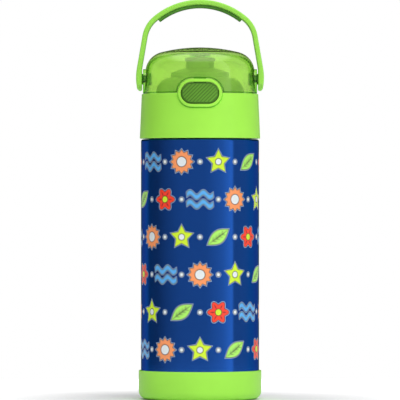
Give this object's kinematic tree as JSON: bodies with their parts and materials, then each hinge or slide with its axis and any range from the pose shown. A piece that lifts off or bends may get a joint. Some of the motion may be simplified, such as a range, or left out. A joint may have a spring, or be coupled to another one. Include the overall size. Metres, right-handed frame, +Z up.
{
  "type": "kids water bottle",
  "caption": "Steel vacuum drinking bottle for a child, with a screw lid, a push-button flip cover over a spout, a swinging carry handle and a soft base boot.",
  "frame": {"origin": "centre of the flat underside of the base boot", "axes": "+Z up along the bottle's axis, -Y the front with the push button, +X to the viewer's right from the front"},
  "size_m": [0.08, 0.0794, 0.25],
  "materials": {
    "painted_steel": "gloss",
    "bare_steel": "satin",
    "spring_steel": "satin",
    "lime_boot": "satin",
    "lime_plastic": "satin",
    "white_plastic": "satin",
    "deck_plastic": "satin",
    "clear_green": "gloss",
    "handle_plastic": "satin",
    "stud_plastic": "satin",
    "button_plastic": "satin",
    "button_rubber": "matte",
    "grip_rubber": "matte",
    "clear_silicone": "matte"
  },
  "bodies": {
    "bottle": {"outer_shell": "painted_steel", "inner_liner": "bare_steel", "base_plate": "bare_steel", "vacuum_getter": "bare_steel", "base_boot": "lime_boot"},
    "seal_carrier": {"mouth_gasket": "clear_silicone"},
    "lid": {"lid_core": "white_plastic", "lid_collar": "lime_plastic", "lid_deck": "deck_plastic", "spout": "deck_plastic", "spout_o_ring": "clear_silicone", "hinge_pin": "bare_steel", "hinge_spring": "spring_steel"},
    "button": {"button_pad": "button_rubber", "latch_button": "button_plastic", "button_spring": "spring_steel"},
    "cover": {"flip_cover": "clear_green", "cover_seal": "clear_silicone"},
    "handle": {"carry_handle": "handle_plastic", "handle_grip": "grip_rubber", "handle_stud_left": "stud_plastic", "handle_stud_right": "stud_plastic", "pivot_washer_left": "stud_plastic", "pivot_washer_right": "stud_plastic"}
  },
  "joints": [
    {"name": "lid_rise", "type": "slide", "parent": "bottle", "child": "seal_carrier", "axis": [0, 0, 1], "range_m": [0, 0.0301]},
    {"name": "lid_unscrew", "type": "hinge", "parent": "seal_carrier", "child": "lid", "pos_m": [0, 0, 0.18], "axis": [0, 0, 1], "range_deg": [0, 2700]},
    {"name": "cover_flip", "type": "hinge", "parent": "lid", "child": "cover", "pos_m": [0, 0.0383, 0.1926], "axis": [-1, 0, 0], "range_deg": [0, 110]},
    {"name": "button_press", "type": "slide", "parent": "lid", "child": "button", "axis": [0, 1, 0], "range_m": [0, 0.0016], "stiffness_N_per_m": 400},
    {"name": "handle_swing", "type": "hinge", "parent": "cover", "child": "handle", "pos_m": [0, 0, 0.2003], "axis": [1, 0, 0], "range_deg": [-75, 100]}
  ],
  "couplings": [
    {"joint": "lid_rise", "follows": "lid_unscrew", "m_per_rad": 0.00063662}
  ]
}
